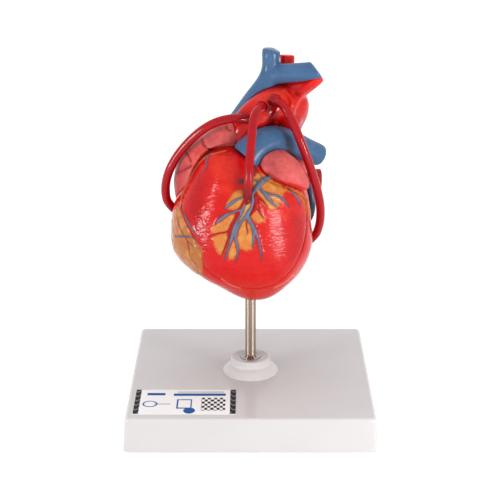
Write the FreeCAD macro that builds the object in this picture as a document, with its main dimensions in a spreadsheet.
import FreeCAD, Part
import math
import os
import re
import Sketcher
from FreeCAD import Placement, Rotation, Vector

# A life-size teaching model of the human heart on a stand. The heart shows
# three bypass grafts, lifts off its rod, and opens at its front wall.
# +X is to the viewer's right, +Y away from the viewer, +Z up. Millimetres.

SIZES = {
    # stand
    "base_width": 180.0,
    "base_height": 25.0,
    "base_draft_angle": 3.4,
    "base_wall": 2.8,
    "base_corner_radius": 5.0,
    "base_edge_radius": 2.5,
    "rim_gap": 0.6,
    "rib_thickness": 2.4,
    "rib_bottom": 12.0,
    "boss_radius": 11.0,
    "boss_bottom": 9.0,
    "shoulder_height": 14.0,
    "pad_radius": 6.0,
    "pad_thickness": 1.8,
    "pad_post_radius": 7.5,
    "pad_inset": 17.0,
    "label_width": 73.0,
    "label_depth": 43.0,
    "label_thickness": 0.2,
    "label_corner_radius": 2.5,
    "label_left": 83.6,
    "label_front": 80.1,
    "collar_foot_height": 1.8,
    "collar_crown_radius": 14.7,
    "collar_band_height": 5.0,
    "collar_chamfer": 0.8,
    "collar_edge_radius": 0.5,
    "collar_rim_radius": 12.4,
    "collar_flare": 5.9,
    "collar_height": 12.0,
    "collar_dish_depth": 0.6,
    "washer_seat_depth": 1.2,
    "star_washer_radius": 7.6,
    "star_washer_thickness": 0.8,
    "star_slot_width": 1.0,
    "star_slot_reach": 5.9,
    # rod and its fastening
    "rod_radius": 4.0,
    "rod_top": 120.8,
    "rod_chamfer": 0.8,
    "swivel_gap": 0.1,
    "stud_radius": 3.0,
    "stud_bottom": 2.4,
    "thread_gap": 0.02,
    "nut_circumradius": 5.77,
    "nut_height": 5.0,
    "flat_washer_radius": 6.0,
    "flat_washer_thickness": 1.6,
    # heart
    "ventricle_half_width": 51.2,
    "ventricle_half_depth": 43.0,
    "right_ventricle_half_width": 18.0,
    "right_ventricle_half_depth": 24.0,
    "left_ventricle_half_width": 12.5,
    "left_ventricle_half_depth": 21.0,
    "right_atrium_half_width": 21.0,
    "right_atrium_half_depth": 24.0,
    "right_atrium_room_half_width": 11.0,
    "right_atrium_room_half_depth": 13.0,
    "left_atrium_half_width": 31.0,
    "left_atrium_half_depth": 21.0,
    "left_atrium_room_half_width": 19.0,
    "left_atrium_room_half_depth": 10.0,
    "left_auricle_half_height": 13.4,
    "left_auricle_half_depth": 15.0,
    "parting_plane": 12.0,
    "parting_gap": 0.3,
    "aorta_radius": 13.0,
    "arch_branch_radius": 5.6,
    "arch_crook_radius": 10.5,
    "pulmonary_trunk_radius": 13.0,
    "vena_cava_radius": 9.5,
    "brachiocephalic_vein_radius": 6.9,
    "inferior_vena_cava_radius": 9.0,
    "pulmonary_vein_radius": 7.6,
    "graft_radius": 3.25,
    "graft_socket_gap": 0.35,
    "atrial_opening_radius": 8.5,
    "outflow_opening_radius": 6.5,
    "leaflet_thickness": 1.2,
    "valve_narrowing": 0.55,
    "papillary_narrowing": 0.35,
    "papillary_radius": 4.6,
    "chorda_radius": 0.7,
    "sleeve_radius": 6.0,
    "sleeve_gap": 0.1,
    "sleeve_floor": 121.0,
    "sleeve_cap": 2.5,
    "magnet_radius": 3.5,
    "magnet_thickness": 3.0,
    "peg_radius": 2.0,
    "peg_gap": 0.3,
    "peg_reach": 5.5,
}

doc = FreeCAD.newDocument("HeartModel")
sheet = doc.addObject("Spreadsheet::Sheet", "Sizes")
for row, (alias, value) in enumerate(SIZES.items(), start=1):
    sheet.set(f"A{row}", alias)
    sheet.set(f"B{row}", str(value))
    sheet.setAlias(f"B{row}", alias)
doc.recompute()

UP = Vector(0, 0, 1)
BACK = Vector(0, 1, 0)
nodes = []

# how far the tools that cut right through a part reach, in millimetres
WALL_TOOL_REACH = 90.0
SLIT_TOOL_REACH = 30.0
LEAFLET_SLIT = 0.8
# the share of a leaflet's length that its slit leaves whole at the ring
LEAFLET_ROOT = 0.35
# the share of a graft's straight run that an arc may use at either end
BEND_SHARE = 0.45
# where a sketch's lines are first drawn, before its dimensions move them
DRAFT_CENTRE = 20
DRAFT_SPREAD = 9


# ------------------------------------------------------------ small helpers
def size(alias):
    """Return the value of one cell of the sheet."""
    return float(sheet.get(alias))


def bind(item, expressions):
    """Bind properties to the sheet; a cell is written by its alias alone."""
    for path, expression in expressions.items():
        linked = re.sub(r"[a-z_]{4,}", lambda word: "Sizes." + word.group(), expression)
        item.setExpression(path, linked)


def node(item, name):
    """Mark a finished sub-part, whose Label names its file."""
    item.Label = name
    nodes.append(item)
    return item


def cut(name, base, *tools):
    """Take the tools from the base, one after another."""
    for number, tool in enumerate(tools):
        result = doc.addObject("Part::Cut", f"{name}_less_{number}")
        result.Base = base
        result.Tool = tool
        result.Refine = False
        base = result
    return base


def fuse(name, *items):
    result = doc.addObject("Part::MultiFuse", name)
    result.Shapes = list(items)
    result.Refine = False
    return result


def common(name, *items):
    result = doc.addObject("Part::MultiCommon", name)
    result.Shapes = list(items)
    result.Refine = False
    return result


def group(name, items):
    """Hold several separate solids as one sub-part."""
    result = doc.addObject("Part::Compound", name)
    result.Links = items
    return result


def cylinder(name, start, direction, radius, height):
    """A cylinder from a start point; radius and height are expressions."""
    item = doc.addObject("Part::Cylinder", name)
    item.Placement = Placement(Vector(*start), Rotation(UP, Vector(*direction)))
    bind(item, {"Radius": radius, "Height": height})
    return item


# ---------------------------------------------------- PartDesign for the stand
def new_body(name):
    body = doc.addObject("PartDesign::Body", name)
    body.Label = name
    return body


def new_sketch(body, name, role, lift=None):
    """A sketch on one of its body's own planes, raised by an expression."""
    sketch = body.newObject("Sketcher::SketchObject", name)
    plane = next(item for item in body.Origin.OriginFeatures if item.Role == role)
    sketch.AttachmentSupport = [(plane, "")]
    sketch.MapMode = "FlatFace"
    if lift:
        bind(sketch, {"AttachmentOffset.Base.z": lift})
    return sketch


def constrain(sketch, expression, *constraint):
    number = sketch.addConstraint(Sketcher.Constraint(*constraint))
    bind(sketch, {f"Constraints[{number}]": expression})


def closed_outline(sketch, corners):
    """A closed polygon whose corners are pairs of expressions."""
    count = len(corners)
    spots = []
    for number in range(count):
        angle = 2 * math.pi * number / count
        across = DRAFT_CENTRE + DRAFT_SPREAD * math.cos(angle)
        up = DRAFT_CENTRE + DRAFT_SPREAD * math.sin(angle)
        spots.append(Vector(across, up, 0))
    for number in range(count):
        after = (number + 1) % count
        sketch.addGeometry(Part.LineSegment(spots[number], spots[after]))
    for number in range(count):
        after = (number + 1) % count
        sketch.addConstraint(Sketcher.Constraint("Coincident", number, 2, after, 1))
    for number, (across, up) in enumerate(corners):
        constrain(sketch, across, "DistanceX", -1, 1, number, 1, spots[number].x)
        constrain(sketch, up, "DistanceY", -1, 1, number, 1, spots[number].y)


def rectangle(sketch, width, depth):
    """A rectangle about the sketch's origin."""
    left, right = f"-({width}) / 2", f"({width}) / 2"
    front, back = f"-({depth}) / 2", f"({depth}) / 2"
    closed_outline(sketch, [(left, front), (right, front), (right, back), (left, back)])


def rounded_rectangle(sketch, width, depth, radius):
    """A rectangle about the origin with tangent corner arcs."""
    quarter = math.pi / 2
    signs = [(1, 1), (-1, 1), (-1, -1), (1, -1)]
    for number, (right, back) in enumerate(signs):
        middle = Vector(DRAFT_CENTRE * right, DRAFT_CENTRE * back, 0)
        arc = Part.ArcOfCircle(Part.Circle(middle, UP, 5), number * quarter,
                               (number + 1) * quarter)
        sketch.addGeometry(arc)
    for number in range(4):
        start = sketch.getPoint(number, 2)
        end = sketch.getPoint((number + 1) % 4, 1)
        sketch.addGeometry(Part.LineSegment(start, end))
    for number, (right, back) in enumerate(signs):
        line = 4 + number
        sketch.addConstraint(Sketcher.Constraint("Tangent", number, 2, line, 1))
        sketch.addConstraint(Sketcher.Constraint("Tangent", line, 2, (number + 1) % 4, 1))
        constrain(sketch, radius, "Radius", number, 5)
        across = f"{right} * (({width}) / 2 - ({radius}))"
        along = f"{back} * (({depth}) / 2 - ({radius}))"
        constrain(sketch, across, "DistanceX", -1, 1, number, 3, DRAFT_CENTRE * right)
        constrain(sketch, along, "DistanceY", -1, 1, number, 3, DRAFT_CENTRE * back)


def circle(sketch, radius, across="0", up="0"):
    number = sketch.addGeometry(Part.Circle(Vector(1, 1, 0), UP, 5.0))
    constrain(sketch, across, "DistanceX", -1, 1, number, 3, 1.0)
    constrain(sketch, up, "DistanceY", -1, 1, number, 3, 1.0)
    constrain(sketch, radius, "Radius", number, 5.0)


def pad(body, sketch, length):
    feature = body.newObject("PartDesign::Pad", "pad")
    feature.Profile = sketch
    bind(feature, {"Length": length})
    return feature


def pocket_up(body, sketch, length):
    """A pocket that cuts towards +Z."""
    feature = body.newObject("PartDesign::Pocket", "pocket")
    feature.Profile = sketch
    feature.Reversed = True
    bind(feature, {"Length": length})
    return feature


def fillet(body, base, radius, test):
    """Round the edges of a feature that pass a test on their middle point."""
    doc.recompute()
    chosen = []
    for number, edge in enumerate(base.Shape.Edges, start=1):
        middle = edge.valueAt((edge.FirstParameter + edge.LastParameter) / 2)
        if test(edge, middle):
            chosen.append(f"Edge{number}")
    feature = body.newObject("PartDesign::Fillet", "fillet")
    feature.Base = (base, chosen)
    bind(feature, {"Radius": radius})
    return feature


def revolved(name, corners):
    """A body turned about Z from a profile of (radius, height) expressions."""
    body = new_body(name)
    sketch = new_sketch(body, name + "_profile", "XZ_Plane")
    closed_outline(sketch, corners)
    feature = body.newObject("PartDesign::Revolution", "revolution")
    feature.Profile = sketch
    feature.ReferenceAxis = (sketch, ["V_Axis"])
    feature.Angle = 360.0
    return body, feature


def make_base_plate():
    """The hollow moulded base: tapered walls, ribs, pad posts and a rod boss."""
    body = new_body("base_plate")
    outer = new_sketch(body, "base_outline", "XY_Plane", "rim_gap")
    rounded_rectangle(outer, "base_width", "base_width", "base_corner_radius")
    block = pad(body, outer, "base_height - rim_gap")
    bind(block, {"TaperAngle": "-base_draft_angle"})
    top = size("base_height")
    fillet(body, block, "base_edge_radius", lambda edge, spot: spot.z > top - 0.01)
    hollow = new_sketch(body, "hollow_outline", "XY_Plane", "rim_gap")
    rectangle(hollow, "base_width - 2 * base_wall", "base_width - 2 * base_wall")
    room = pocket_up(body, hollow, "base_height - rim_gap - base_wall")
    bind(room, {"TaperAngle": "-base_draft_angle"})
    ribs = new_sketch(body, "rib_outline", "XY_Plane", "rib_bottom")
    rectangle(ribs, "base_width - 3 * base_wall", "rib_thickness")
    pad(body, ribs, "base_height - base_wall / 2 - rib_bottom")
    cross_ribs = new_sketch(body, "cross_rib_outline", "XY_Plane", "rib_bottom")
    rectangle(cross_ribs, "rib_thickness", "base_width - 3 * base_wall")
    pad(body, cross_ribs, "base_height - base_wall / 2 - rib_bottom")
    posts = new_sketch(body, "post_outline", "XY_Plane", "pad_thickness")
    for across in ("-(base_width / 2 - pad_inset)", "base_width / 2 - pad_inset"):
        for up in ("-(base_width / 2 - pad_inset)", "base_width / 2 - pad_inset"):
            circle(posts, "pad_post_radius", across, up)
    pad(body, posts, "base_height - base_wall / 2 - pad_thickness")
    boss = new_sketch(body, "boss_outline", "XY_Plane", "boss_bottom")
    circle(boss, "boss_radius")
    pad(body, boss, "base_height - base_wall / 2 - boss_bottom")
    stud_hole = new_sketch(body, "stud_hole", "XY_Plane", "boss_bottom")
    circle(stud_hole, "stud_radius + swivel_gap")
    pocket_up(body, stud_hole, "base_height - boss_bottom + 1")
    rod_hole = new_sketch(body, "rod_hole", "XY_Plane", "shoulder_height")
    circle(rod_hole, "rod_radius + swivel_gap")
    pocket_up(body, rod_hole, "base_height - shoulder_height + 1")
    return node(body, "base_plate")


def make_foot_pads():
    reach = size("base_width") / 2 - size("pad_inset")
    pads = []
    for across in (-reach, reach):
        for along in (-reach, reach):
            spot = (across, along, 0)
            pads.append(cylinder("foot_pad", spot, (0, 0, 1), "pad_radius", "pad_thickness"))
    return node(group("foot_pads", pads), "foot_pads")


def make_base_label():
    """The sticker near the front left corner of the base."""
    sticker = doc.addObject("Part::Box", "sticker")
    bind(sticker, {
        "Length": "label_width",
        "Width": "label_depth",
        "Height": "label_thickness",
        "Placement.Base.x": "-label_left",
        "Placement.Base.y": "-label_front",
        "Placement.Base.z": "base_height",
    })
    doc.recompute()
    rounded = doc.addObject("Part::Fillet", "rounded_sticker")
    rounded.Base = sticker
    radius = size("label_corner_radius")
    upright = []
    for number, edge in enumerate(sticker.Shape.Edges, start=1):
        if abs(edge.tangentAt(edge.FirstParameter).z) > 0.9:
            upright.append((number, radius, radius))
    rounded.Edges = upright
    return node(rounded, "base_label")


def make_rod_collar():
    """The collar over the rod's hole: an upright band that flares to a wide foot."""
    top = "base_height + collar_height"
    body, turned = revolved("rod_collar", [
        ("rod_radius + swivel_gap", "base_height"),
        ("collar_crown_radius + collar_flare", "base_height"),
        ("collar_crown_radius + collar_flare", "base_height + collar_foot_height"),
        ("collar_crown_radius + collar_flare * 0.5", top + " - collar_band_height - 2.2"),
        ("collar_crown_radius + collar_flare * 0.1", top + " - collar_band_height - 0.4"),
        ("collar_crown_radius", top + " - collar_band_height + 1"),
        ("collar_crown_radius", top + " - collar_chamfer"),
        ("collar_crown_radius - collar_chamfer", top),
        ("collar_rim_radius", top),
        ("star_washer_radius + 0.4", top + " - collar_dish_depth"),
        ("star_washer_radius + 0.1", top + " - washer_seat_depth"),
        ("rod_radius + swivel_gap", top + " - washer_seat_depth"),
    ])
    crown = size("collar_crown_radius")
    level = size("base_height") + size("collar_height")
    fillet(body, turned, "collar_edge_radius",
           lambda edge, spot: edge.Length > 60 and spot.z > level - 2
           and math.hypot(spot.x, spot.y) > crown - 4)
    return node(body, "rod_collar")


def make_star_washer():
    """A push-on washer: a flat ring whose inner edge is slit into teeth."""
    seat = "base_height + collar_height - washer_seat_depth"
    body = new_body("star_washer")
    ring = new_sketch(body, "ring_outline", "XY_Plane", seat)
    circle(ring, "star_washer_radius")
    circle(ring, "rod_radius + swivel_gap")
    pad(body, ring, "star_washer_thickness")
    slot = new_sketch(body, "slot_outline", "XY_Plane", seat)
    closed_outline(slot, [
        ("rod_radius - 1", "-star_slot_width / 2"),
        ("star_slot_reach", "-star_slot_width / 2"),
        ("star_slot_reach", "star_slot_width / 2"),
        ("rod_radius - 1", "star_slot_width / 2"),
    ])
    slit = pocket_up(body, slot, "star_washer_thickness")
    pattern = body.newObject("PartDesign::PolarPattern", "teeth")
    pattern.Originals = [slit]
    pattern.Axis = (ring, ["N_Axis"])
    pattern.Angle = 360.0
    pattern.Occurrences = 8
    body.Tip = pattern
    return node(body, "star_washer")


def make_support_rod():
    body, turned = revolved("support_rod", [
        ("0", "stud_bottom"),
        ("stud_radius - 0.5", "stud_bottom"),
        ("stud_radius", "stud_bottom + 0.5"),
        ("stud_radius", "shoulder_height"),
        ("rod_radius", "shoulder_height"),
        ("rod_radius", "rod_top - rod_chamfer"),
        ("rod_radius - rod_chamfer", "rod_top"),
        ("0", "rod_top"),
    ])
    return node(body, "support_rod")


def make_rod_fasteners():
    """The flat washer and the nut on the rod's stud, under the base."""
    outer = doc.addObject("Part::Cylinder", "washer_disc")
    bore = doc.addObject("Part::Cylinder", "washer_bore")
    level = "boss_bottom - flat_washer_thickness"
    bind(outer, {
        "Radius": "flat_washer_radius",
        "Height": "flat_washer_thickness",
        "Placement.Base.z": level,
    })
    bind(bore, {
        "Radius": "stud_radius + thread_gap",
        "Height": "flat_washer_thickness",
        "Placement.Base.z": level,
    })
    node(cut("rod_washer", outer, bore), "rod_washer")
    prism = doc.addObject("Part::Prism", "nut_prism")
    prism.Polygon = 6
    thread = doc.addObject("Part::Cylinder", "nut_thread")
    level = "boss_bottom - flat_washer_thickness - nut_height"
    bind(prism, {
        "Circumradius": "nut_circumradius",
        "Height": "nut_height",
        "Placement.Base.z": level,
    })
    bind(thread, {
        "Radius": "stud_radius + thread_gap",
        "Height": "nut_height",
        "Placement.Base.z": level,
    })
    node(cut("rod_nut", prism, thread), "rod_nut")


# ------------------------------------------------------- castings of the heart
def point(name, spot):
    item = doc.addObject("Part::Vertex", name)
    item.X, item.Y, item.Z = spot
    return item


def loft(name, sections):
    item = doc.addObject("Part::Loft", name)
    item.Sections = sections
    item.Solid = True
    item.Ruled = False
    return item


def oval_loft(name, half_width, half_depth, stations, bottom, top):
    """A closed skin over level ovals, from a bottom point to a top point.

    A station is its height, the oval's centre in x and y, and the shares of
    the half width and half depth that it has.
    """
    deep = size(half_depth) > size(half_width)
    sections = [point(name + "_bottom", bottom)]
    for number, (height, x, y, width_share, depth_share) in enumerate(stations):
        oval = doc.addObject("Part::Ellipse", f"{name}_oval_{number}")
        turn = Rotation(UP, 90) if deep else Rotation()
        oval.Placement = Placement(Vector(x, y, height), turn)
        wide = f"{half_width} * {width_share}"
        long = f"{half_depth} * {depth_share}"
        bind(oval, {
            "MajorRadius": long if deep else wide,
            "MinorRadius": wide if deep else long,
        })
        sections.append(oval)
    sections.append(point(name + "_top", top))
    return loft(name, sections)


def vessel_loft(name, radius, route):
    """A round vessel through points of (x, y, z, share of the radius)."""
    spots = [Vector(x, y, z) for x, y, z, share in route]
    last = len(spots) - 1
    frame = Rotation()
    facing = UP
    sections = []
    for number, spot in enumerate(spots):
        before = spots[max(number - 1, 0)]
        after = spots[min(number + 1, last)]
        heading = after.sub(before).normalize()
        frame = Rotation(facing, heading).multiply(frame)
        facing = heading
        ring = doc.addObject("Part::Circle", f"{name}_ring_{number}")
        ring.Placement = Placement(spot, frame)
        bind(ring, {"Radius": f"{radius} * {route[number][3]}"})
        sections.append(ring)
    return loft(name, sections)


def rounded_route(spots):
    """Straight runs joined by tangent arcs, as large as the runs allow."""
    edges = []
    start = spots[0]
    radii = []
    for before, corner, after in zip(spots, spots[1:], spots[2:]):
        arriving = corner.sub(before).normalize()
        leaving = after.sub(corner).normalize()
        half_turn = arriving.getAngle(leaving) / 2
        reach = BEND_SHARE * min(corner.distanceToPoint(before), after.distanceToPoint(corner))
        radius = reach / math.tan(half_turn)
        radii.append(radius)
        inward = leaving.sub(arriving).normalize()
        arc_start = corner.sub(arriving * reach)
        arc_end = corner.add(leaving * reach)
        sagitta = radius / math.cos(half_turn) - radius
        edges.append(Part.LineSegment(start, arc_start).toShape())
        edges.append(Part.Arc(arc_start, corner.add(inward * sagitta), arc_end).toShape())
        start = arc_end
    edges.append(Part.LineSegment(start, spots[-1]).toShape())
    return Part.Wire(edges), radii


def graft_tube(name, route):
    """A bypass graft: a round tube swept along its rounded route."""
    spots = [Vector(*spot) for spot in route]
    wire, radii = rounded_route(spots)
    spine = doc.addObject("Part::Feature", name + "_route")
    spine.Shape = wire
    ring = doc.addObject("Part::Circle", name + "_ring")
    ring.Placement = Placement(spots[0], Rotation(UP, spots[1].sub(spots[0])))
    bind(ring, {"Radius": "graft_radius"})
    sweep = doc.addObject("Part::Sweep", name + "_tube")
    sweep.Sections = [ring]
    sweep.Spine = (spine, [f"Edge{number}" for number in range(1, len(wire.Edges) + 1)])
    sweep.Solid = True
    doc.recompute()
    drawn = math.pi * size("graft_radius") ** 2 * wire.Length
    print(f"{name}: smallest bend {min(radii):.1f} mm, length {wire.Length:.0f} mm, "
          f"volume {sweep.Shape.Volume / drawn:.4f} of section times length")
    return sweep


# The outline of the front wall, seen from the front, as (x, z).
WALL_OUTLINE = [
    (-19.0, 204.5), (-37.0, 193.5), (-42.8, 182.5), (-47.9, 171.5), (-49.5, 162.6),
    (-47.5, 153.0), (-41.2, 142.5), (-35.6, 132.0), (-33.5, 121.0), (-27.8, 113.0),
    (-11.2, 103.8), (-0.4, 100.7), (17.7, 104.6), (33.5, 121.4), (40.4, 144.0),
    (38.8, 164.1), (28.0, 174.4), (8.1, 185.4), (-0.4, 196.2), (-8.5, 202.5),
]


def wall_prism(name, inset, face_plane):
    """Everything in front of a plane and inside the front wall's outline."""
    middle = Vector(-4, 0, 150)
    spots = []
    for x, z in WALL_OUTLINE:
        spot = Vector(x, 0, z)
        inward = middle.sub(spot).normalize()
        spots.append(spot.add(inward * inset))
    curve = Part.BSplineCurve()
    curve.interpolate(spots, PeriodicFlag=True)
    outline = doc.addObject("Part::Feature", name + "_outline")
    outline.Shape = Part.Face(Part.Wire([curve.toShape()]))
    outline.Placement = Placement(Vector(0, face_plane, 0), Rotation())
    prism = doc.addObject("Part::Extrusion", name)
    prism.Base = outline
    prism.DirMode = "Custom"
    prism.Dir = Vector(0, -1, 0)
    prism.LengthFwd = WALL_TOOL_REACH
    prism.Solid = True
    return prism


def make_ventricle_block():
    """The outside of both ventricles, before it is parted and hollowed."""
    return oval_loft("ventricle_block", "ventricle_half_width", "ventricle_half_depth", [
        (84.5, 3.2, 0.0, 0.19, 0.20),
        (88.5, 3.2, -1.0, 0.33, 0.34),
        (96.0, 1.6, -1.0, 0.53, 0.54),
        (106.0, -2.0, -2.0, 0.76, 0.72),
        (115.3, -4.6, -2.0, 0.91, 0.84),
        (124.5, -5.9, -2.0, 0.99, 0.92),
        (138.0, -6.5, -1.5, 1.00, 0.98),
        (151.5, -6.8, -1.0, 0.98, 1.00),
        (163.0, -5.5, -1.0, 0.93, 0.98),
        (174.0, -4.5, -3.0, 0.83, 0.88),
        (182.0, -6.5, -5.0, 0.71, 0.77),
        (189.0, -10.5, -8.0, 0.54, 0.60),
        (196.0, -14.0, -12.0, 0.36, 0.42),
        (201.0, -16.5, -14.0, 0.17, 0.20),
    ], (3.0, 0.0, 82.6), (-17.0, -14.5, 203.0))


def make_right_ventricle_room():
    return oval_loft("right_ventricle_room",
                     "right_ventricle_half_width", "right_ventricle_half_depth", [
        (112.0, -16.0, -8.0, 0.36, 0.42),
        (125.0, -20.5, -9.0, 0.56, 0.75),
        (140.0, -23.5, -10.0, 0.78, 0.92),
        (155.0, -25.5, -9.0, 0.94, 0.90),
        (168.0, -25.5, -9.0, 0.90, 0.80),
        (180.0, -22.5, -10.0, 0.78, 0.64),
        (190.0, -19.5, -12.0, 0.56, 0.48),
    ], (-15.0, -8.0, 106.0), (-18.0, -13.0, 196.0))


def make_left_ventricle_room():
    return oval_loft("left_ventricle_room",
                     "left_ventricle_half_width", "left_ventricle_half_depth", [
        (108.0, 14.0, -4.0, 0.40, 0.40),
        (118.0, 18.0, -2.0, 0.72, 0.68),
        (130.0, 20.0, 0.0, 0.92, 0.86),
        (145.0, 21.5, 1.0, 1.00, 0.96),
        (160.0, 21.0, 2.0, 1.00, 1.00),
        (170.0, 18.0, 3.0, 0.88, 0.90),
        (178.0, 14.0, 4.0, 0.64, 0.66),
    ], (13.0, -4.0, 103.5), (12.0, 4.0, 184.0))


def make_right_atrium_block():
    return oval_loft("right_atrium_block",
                     "right_atrium_half_width", "right_atrium_half_depth", [
        (152.0, -42.0, 10.0, 0.50, 0.50),
        (165.7, -37.5, 9.0, 0.88, 0.88),
        (180.7, -34.5, 8.0, 0.97, 0.98),
        (190.0, -31.5, 6.0, 0.95, 0.94),
        (197.6, -28.3, 3.0, 0.88, 0.84),
        (207.9, -21.0, -2.0, 0.62, 0.60),
        (214.0, -17.5, -4.0, 0.42, 0.42),
    ], (-42.0, 11.0, 146.0), (-16.5, -4.0, 219.0))


def make_right_atrium_room():
    return oval_loft("right_atrium_room",
                     "right_atrium_room_half_width", "right_atrium_room_half_depth", [
        (164.0, -35.0, 19.0, 0.55, 0.50),
        (172.0, -34.5, 18.0, 0.90, 0.85),
        (182.0, -33.5, 17.0, 1.00, 1.00),
        (192.0, -29.5, 13.0, 0.90, 0.90),
    ], (-35.0, 20.0, 159.0), (-26.0, 10.0, 200.0))


def make_left_atrium_block():
    return oval_loft("left_atrium_block",
                     "left_atrium_half_width", "left_atrium_half_depth", [
        (155.0, 5.0, 31.0, 0.55, 0.55),
        (163.0, 5.0, 33.0, 0.86, 0.84),
        (173.0, 4.0, 34.0, 1.00, 1.00),
        (184.0, 3.0, 33.0, 0.97, 0.97),
        (194.0, 3.0, 30.0, 0.75, 0.75),
        (200.0, 3.0, 27.0, 0.45, 0.48),
    ], (5.0, 30.0, 150.0), (3.0, 25.0, 203.0))


def make_left_atrium_room():
    return oval_loft("left_atrium_room",
                     "left_atrium_room_half_width", "left_atrium_room_half_depth", [
        (163.0, 10.0, 37.0, 0.60, 0.60),
        (171.0, 8.0, 38.0, 0.95, 0.95),
        (181.0, 5.0, 37.0, 1.00, 1.00),
        (189.0, 4.0, 35.0, 0.70, 0.70),
    ], (10.0, 37.0, 158.5), (4.0, 33.0, 194.0))


def make_left_auricle_block():
    """The ear-shaped lobe over the left shoulder, from upper left to tip."""
    axis = Vector(0.80, 0.0, -0.60)
    start = Vector(6.0, -19.0, 197.5)
    frame = Rotation(UP, axis).multiply(Rotation(UP, 90))
    stations = [(3.0, 0.50, 0.45), (8.0, 0.84, 0.80), (15.0, 1.00, 1.00), (22.0, 0.90, 1.00),
                (29.0, 0.66, 0.90), (35.0, 0.42, 0.66), (38.0, 0.22, 0.38)]
    sections = [point("left_auricle_start", tuple(start))]
    for number, (along, height_share, depth_share) in enumerate(stations):
        oval = doc.addObject("Part::Ellipse", f"left_auricle_oval_{number}")
        oval.Placement = Placement(start.add(axis * along), frame)
        bind(oval, {
            "MajorRadius": f"left_auricle_half_depth * {depth_share}",
            "MinorRadius": f"left_auricle_half_height * {height_share}",
        })
        sections.append(oval)
    sections.append(point("left_auricle_tip", tuple(start.add(axis * 40.0))))
    return loft("left_auricle_block", sections)


def make_aorta_block():
    """The ascending aorta, the arch and the stumps of its branches."""
    arch = vessel_loft("aortic_arch", "aorta_radius", [
        (2, 4, 180, 0.85), (-4, 0, 198, 0.90), (-5, -2, 210.5, 0.89), (0.5, -2, 219, 0.90),
        (10, 1, 226.5, 0.92), (20, 6, 230.5, 0.94), (30, 13, 228, 0.92), (31, 21, 219.5, 0.84),
        (28.5, 30, 209.5, 0.78), (27, 36, 200, 0.74), (26.5, 39.5, 191, 0.72),
    ])
    innominate = vessel_loft("innominate_stump", "arch_branch_radius", [
        (17, 8, 230, 1.2), (23, 14, 243, 1.0), (26, 17, 254, 0.95), (26.3, 18, 262.5, 0.96),
    ])
    subclavian = vessel_loft("subclavian_stump", "arch_branch_radius", [
        (27, 12, 231, 1.95), (34, 8, 239.5, 1.42), (41.5, 4, 244, 1.0), (47.5, 2, 247.3, 0.70),
        (50.5, 1, 249.3, 0.50),
    ])
    crook = doc.addObject("Part::Sphere", "arch_crook")
    crook.Placement = Placement(Vector(15, 14, 216), Rotation())
    bind(crook, {"Radius": "arch_crook_radius"})
    return fuse("aorta_block", arch, innominate, subclavian, crook)


def make_vena_cava_block():
    """The superior vena cava and the left brachiocephalic vein, one casting."""
    cava = vessel_loft("vena_cava", "vena_cava_radius", [
        (-23, 8, 194, 0.92), (-12.5, 11, 208, 0.95), (-5, 11.5, 217.8, 0.97),
        (3.8, 11, 230.3, 0.97), (9, 10, 238.2, 0.92), (13.2, 9.5, 248, 0.76),
        (14.4, 9, 258, 0.66), (15.2, 9, 268.6, 0.70),
    ])
    vein = vessel_loft("left_vein", "brachiocephalic_vein_radius", [
        (11, 9.5, 244, 0.86), (20, 7, 250.5, 1.0), (31, 3, 252.5, 1.0), (43, 0.5, 254.2, 0.95),
        (58, -1, 256, 0.98),
    ])
    slanted_end = doc.addObject("Part::Box", "slanted_end")
    slanted_end.Length, slanted_end.Width, slanted_end.Height = 30, 40, 40
    slant = Rotation(BACK, -38)
    corner = slant.multVec(Vector(0, -20, -20))
    slanted_end.Placement = Placement(Vector(46.7, 0, 255.4).add(corner), slant)
    trimmed = cut("left_vein_end", vein, slanted_end)
    return fuse("vena_cava_block", cava, trimmed)


def make_pulmonary_trunk_block():
    """The pulmonary trunk with its left and right arteries."""
    left_branch = vessel_loft("pulmonary_trunk_left", "pulmonary_trunk_radius", [
        (-11, -19, 185, 0.92), (-5, -18.5, 194, 0.95), (2, -16.5, 201, 0.88),
        (9, -13, 205.5, 0.82), (17, -8, 206.5, 0.77), (25, -1, 203.8, 0.69),
        (33, 7, 199, 0.66), (41, 13, 193.5, 0.65), (47.5, 17, 189.5, 0.64), (51, 19, 187.5, 0.58),
    ])
    right_branch = vessel_loft("pulmonary_trunk_right", "pulmonary_trunk_radius", [
        (22, 2, 203, 0.58), (10, 15, 204, 0.62), (-8, 23, 203, 0.62), (-26, 26, 200, 0.60),
        (-40, 27, 197, 0.58),
    ])
    return fuse("pulmonary_trunk_block", left_branch, right_branch), right_branch


def make_valve(name, centre, direction, radius, length, leaflet_count):
    """A ring of thin leaflets that narrows towards its free edge."""
    outer = doc.addObject("Part::Cone", name + "_outside")
    inner = doc.addObject("Part::Cone", name + "_inside")
    place = Placement(Vector(*centre), Rotation(UP, Vector(*direction)))
    for cone, gap in ((outer, "0"), (inner, "leaflet_thickness")):
        cone.Placement = place
        bind(cone, {"Radius1": f"{radius} - {gap}", "Radius2": f"{radius} * valve_narrowing - {gap}"})
        cone.Height = length
    ring = cut(name + "_ring", outer, inner)
    slits = []
    for number in range(leaflet_count):
        slit = doc.addObject("Part::Box", f"{name}_slit_{number}")
        slit.Length, slit.Width, slit.Height = SLIT_TOOL_REACH, LEAFLET_SLIT, length
        turn = Rotation(UP, 360 * number / leaflet_count)
        corner = turn.multVec(Vector(0, -LEAFLET_SLIT / 2, length * LEAFLET_ROOT))
        offset = Placement(corner, turn)
        slit.Placement = place.multiply(offset)
        slits.append(slit)
    return cut(name + "_leaflets", ring, *slits)


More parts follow.
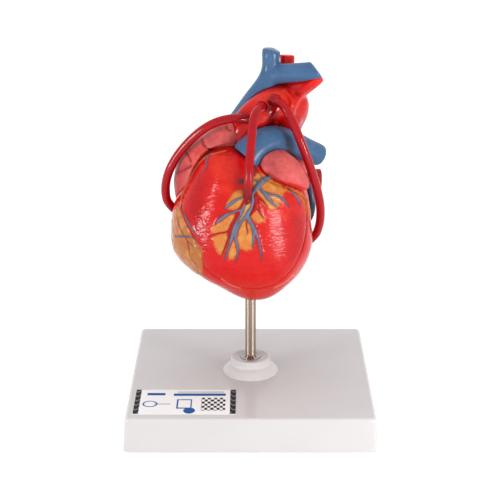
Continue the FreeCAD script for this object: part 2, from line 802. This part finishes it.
def make_papillary(name, base, tip, leaflet_points):
    """A papillary muscle with its tendon cords up to the leaflets."""
    base, tip = Vector(*base), Vector(*tip)
    muscle = doc.addObject("Part::Cone", name + "_muscle")
    muscle.Placement = Placement(base, Rotation(UP, tip.sub(base)))
    muscle.Height = tip.distanceToPoint(base)
    bind(muscle, {"Radius1": "papillary_radius", "Radius2": "papillary_radius * papillary_narrowing"})
    root = tip.add(base.sub(tip).normalize() * 2.0)
    cords = []
    for number, end in enumerate(leaflet_points):
        run = Vector(*end).sub(root)
        cord = doc.addObject("Part::Cylinder", f"{name}_cord_{number}")
        cord.Placement = Placement(root, Rotation(UP, run))
        cord.Height = run.Length
        bind(cord, {"Radius": "chorda_radius"})
        cords.append(cord)
    return fuse(name, muscle, *cords)


def septum_discs(name, heights, start, length, radius):
    """Round inserts or holes along the septum, square to the parting plane."""
    items = []
    for number, (x, z) in enumerate(heights):
        items.append(cylinder(f"{name}_{number}", (x, start, z), (0, 1, 0), radius, length))
    return items


def make_heart():
    block = make_ventricle_block()
    right_room = make_right_ventricle_room()
    left_room = make_left_ventricle_room()
    plane = -size("parting_plane")
    gap = size("parting_gap")
    pull_path = wall_prism("pull_path", 0.0, plane)
    wall_volume = wall_prism("wall_volume", gap, plane - gap)

    # openings between the rooms
    right_opening = cylinder("tricuspid_opening", (-27, -4, 171), (0, 1, 0),
                             "atrial_opening_radius", "22")
    left_opening = cylinder("mitral_opening", (16, 14, 167), (0, 1, 0),
                            "atrial_opening_radius", "21")
    aortic_start, aortic_end = Vector(11, 3, 176), Vector(1, 0, 199)
    aortic_run = aortic_end.sub(aortic_start)
    aortic_opening = cylinder("aortic_opening", tuple(aortic_start), tuple(aortic_run),
                              "outflow_opening_radius", f"{aortic_run.Length}")
    pulmonary_opening = cylinder("pulmonary_opening", (-16, -5, 184), (0.12, 0, 1),
                                 "outflow_opening_radius - 1", "13")

    # inserts in the septum
    magnet_spots = [(0, 150), (0, 164)]
    peg_spots = [(0, 132), (-1, 177)]
    rear_magnets = septum_discs("rear_magnet", magnet_spots, plane,
                                "magnet_thickness", "magnet_radius")
    front_plane = plane - gap
    front_magnets = septum_discs("front_magnet", magnet_spots,
                                 front_plane - size("magnet_thickness"),
                                 "magnet_thickness", "magnet_radius")
    pegs = septum_discs("peg", peg_spots, front_plane - size("peg_reach"),
                        "2 * peg_reach", "peg_radius")
    peg_holes = septum_discs("peg_hole", peg_spots, plane - 1,
                             "peg_reach + 1.6", "peg_radius + peg_gap")
    sleeve_hole = cylinder("sleeve_hole", (0, 0, 70), (0, 0, 1), "sleeve_radius",
                           "sleeve_floor + sleeve_cap - 70")
    rod_bore = cylinder("rod_bore", (0, 0, 70), (0, 0, 1), "rod_radius + sleeve_gap",
                        "sleeve_floor - 70")
    atrium_room = make_right_atrium_room()
    left_atrium_room = make_left_atrium_room()

    # the rear shell, with the rod's sleeve
    rear_tools = [pull_path, right_room, left_room, atrium_room, left_atrium_room,
                  right_opening, left_opening, aortic_opening, pulmonary_opening,
                  sleeve_hole] + rear_magnets + peg_holes
    shell = cut("rear_shell", block, *rear_tools)
    node(shell, "rear_heart_shell")
    sleeve = cut("sleeve_tube", common("sleeve_blank", sleeve_hole, block), rod_bore)
    node(sleeve, "rod_sleeve")

    # the great vessels
    aorta_block = make_aorta_block()
    cava_block = make_vena_cava_block()
    trunk_block, right_artery = make_pulmonary_trunk_block()
    graft_socket = cylinder("graft_socket", (8.1, -4.6, 231), (0, -1, 0),
                            "graft_radius + graft_socket_gap", "30")
    node(cut("aorta", aorta_block, block, aortic_opening, graft_socket), "aorta")
    node(cut("cava_clear", cava_block, block, aorta_block), "superior_vena_cava")
    trunk = cut("trunk", trunk_block, block, pull_path, aorta_block, cava_block)
    node(trunk, "pulmonary_trunk")

    # the atria
    right_block = make_right_atrium_block()
    node(cut("right_atrium", right_block, atrium_room, block, pull_path, aorta_block,
             cava_block, right_artery), "right_atrium")
    left_block = make_left_atrium_block()
    node(cut("left_atrium", left_block, left_atrium_room, block, aorta_block, trunk_block,
             right_block), "left_atrium")
    auricle_block = make_left_auricle_block()
    node(cut("left_auricle", auricle_block, block, pull_path, trunk_block), "left_auricle")
    lower_cava = vessel_loft("lower_cava", "inferior_vena_cava_radius", [
        (-36, 24, 168, 1.0), (-34, 35, 154, 1.0), (-33, 41, 140, 1.0), (-33, 43, 128, 1.05),
    ])
    node(cut("inferior_vena_cava", lower_cava, block, right_block, left_block),
         "inferior_vena_cava")

    # the pulmonary veins
    vein_routes = {
        "left_pulmonary_veins": [
            [(20, 34, 165, 1.0), (38, 36, 165, 1.0), (53, 37, 165, 1.02)],
            [(16, 44, 182, 0.8), (34, 47, 184, 0.8), (48, 50, 186, 0.82)],
        ],
        "right_pulmonary_veins": [
            [(-12, 40, 184, 0.8), (-30, 42, 187, 0.8), (-45, 43, 189, 0.82)],
            [(-12, 42, 170, 0.8), (-29, 45, 168, 0.8), (-44, 47, 166, 0.82)],
        ],
    }
    for name, routes in vein_routes.items():
        stumps = []
        for number, route in enumerate(routes):
            stump = vessel_loft(f"{name}_{number}", "pulmonary_vein_radius", route)
            stumps.append(cut(f"{name}_clear_{number}", stump, left_block, block,
                              trunk_block, right_block, lower_cava))
        node(group(name, stumps), name)

    # the bypass grafts
    right_graft = graft_tube("right_graft", [
        (5.0, -7.0, 219.5), (-4.0, -15.0, 223.0), (-13.5, -18.0, 224.2), (-24.3, -16.5, 221.2),
        (-34.2, -13.0, 214.9), (-44.8, -8.5, 204.4), (-54.2, -5.0, 191.8), (-60.2, -2.5, 179.0),
        (-62.4, 1.0, 166.0), (-60.6, 6.5, 153.5), (-52.0, 13.5, 144.5),
    ])
    node(cut("right_graft_clear", right_graft, aorta_block, block, right_block),
         "right_bypass_graft")
    left_graft = graft_tube("left_graft", [
        (12.0, 0.0, 231.5), (18.5, -11.0, 235.5), (25.0, -17.5, 231.0), (29.2, -20.0, 223.0),
        (33.2, -20.8, 213.5), (37.8, -19.5, 201.5), (42.8, -16.0, 187.5), (47.9, -10.5, 171.0),
        (51.2, -3.0, 154.5), (51.2, 5.5, 139.0), (47.6, 14.0, 125.5), (36.0, 21.0, 115.5),
    ])
    node(cut("left_graft_clear", left_graft, aorta_block, block), "left_bypass_graft")
    centre_graft = graft_tube("centre_graft", [
        (8.1, -5.2, 231.0), (8.1, -15.5, 231.0), (4.2, -23.0, 230.4), (1.6, -30.0, 224.5),
        (0.8, -36.0, 215.0), (-0.4, -41.0, 203.0), (-1.2, -44.5, 191.0), (-1.8, -44.5, 180.0),
        (-2.4, -38.0, 170.0),
    ])
    node(cut("centre_graft_clear", centre_graft, block), "centre_bypass_graft")

    # the front wall, which pulls off
    wall = cut("front_wall", common("wall_blank", block, wall_volume), right_room, left_room,
               *front_magnets, *pegs)
    node(wall, "front_heart_wall")
    node(group("front_magnet_group", front_magnets), "front_magnets")
    node(group("rear_magnet_group", rear_magnets), "rear_magnets")
    node(group("peg_group", pegs), "locating_pegs")

    # valves, papillary muscles and tendon cords
    tricuspid = make_valve("tricuspid", (-27, 9, 171), (0, -1, 0),
                           "atrial_opening_radius", 9.0, 3)
    node(tricuspid, "tricuspid_valve")
    mitral = make_valve("mitral", (16, 25, 167), (0, -1, 0), "atrial_opening_radius", 9.0, 2)
    node(mitral, "mitral_valve")
    aortic = make_valve("aortic", tuple(aortic_start.add(aortic_run * 0.30)),
                        tuple(aortic_run), "outflow_opening_radius", 5.0, 3)
    node(aortic, "aortic_valve")
    pulmonary = make_valve("pulmonary", (-15.6, -5, 187), (0.12, 0, 1),
                           "(outflow_opening_radius - 1)", 5.0, 3)
    node(pulmonary, "pulmonary_valve")
    right_muscle = make_papillary("right_papillary", (-20, 2, 117), (-24, 4, 145),
                                  [(-31, 1, 168), (-27, 1, 166), (-23, 1, 168)])
    node(cut("right_papillary_clear", common("right_papillary_in_room", right_muscle, right_room),
             tricuspid), "right_papillary_muscles")
    left_muscles = []
    for number, (base, tip, ends) in enumerate([
        ((13, 8, 116), (15, 11, 140), [(12, 16.5, 164), (15, 16.5, 162)]),
        ((27, 8, 120), (23, 11, 141), [(17.5, 16.5, 162), (20, 16.5, 164)]),
    ]):
        muscle = make_papillary(f"left_papillary_{number}", base, tip, ends)
        inside = common(f"left_papillary_in_room_{number}", muscle, left_room)
        left_muscles.append(cut(f"left_papillary_clear_{number}", inside, mitral))
    node(group("left_papillary_group", left_muscles), "left_papillary_muscles")


def main():
    make_base_plate()
    make_foot_pads()
    make_base_label()
    make_rod_collar()
    make_star_washer()
    make_support_rod()
    make_rod_fasteners()
    make_heart()
    doc.recompute()
    failed = [item.Name for item in doc.Objects
              if "Invalid" in item.State or "Error" in item.State]
    if failed:
        raise RuntimeError(f"failed objects: {failed}")
    os.makedirs("parts", exist_ok=True)
    for item in nodes:
        if item.Shape.isNull() or not item.Shape.isValid():
            raise RuntimeError(f"{item.Label} has no valid shape")
        box = item.Shape.BoundBox
        print(f"{item.Label}: {len(item.Shape.Solids)} solids, {item.Shape.Volume:.0f} mm3, "
              f"z {box.ZMin:.1f} to {box.ZMax:.1f}")
        item.Shape.exportStep(f"parts/{item.Label}.step")


main()
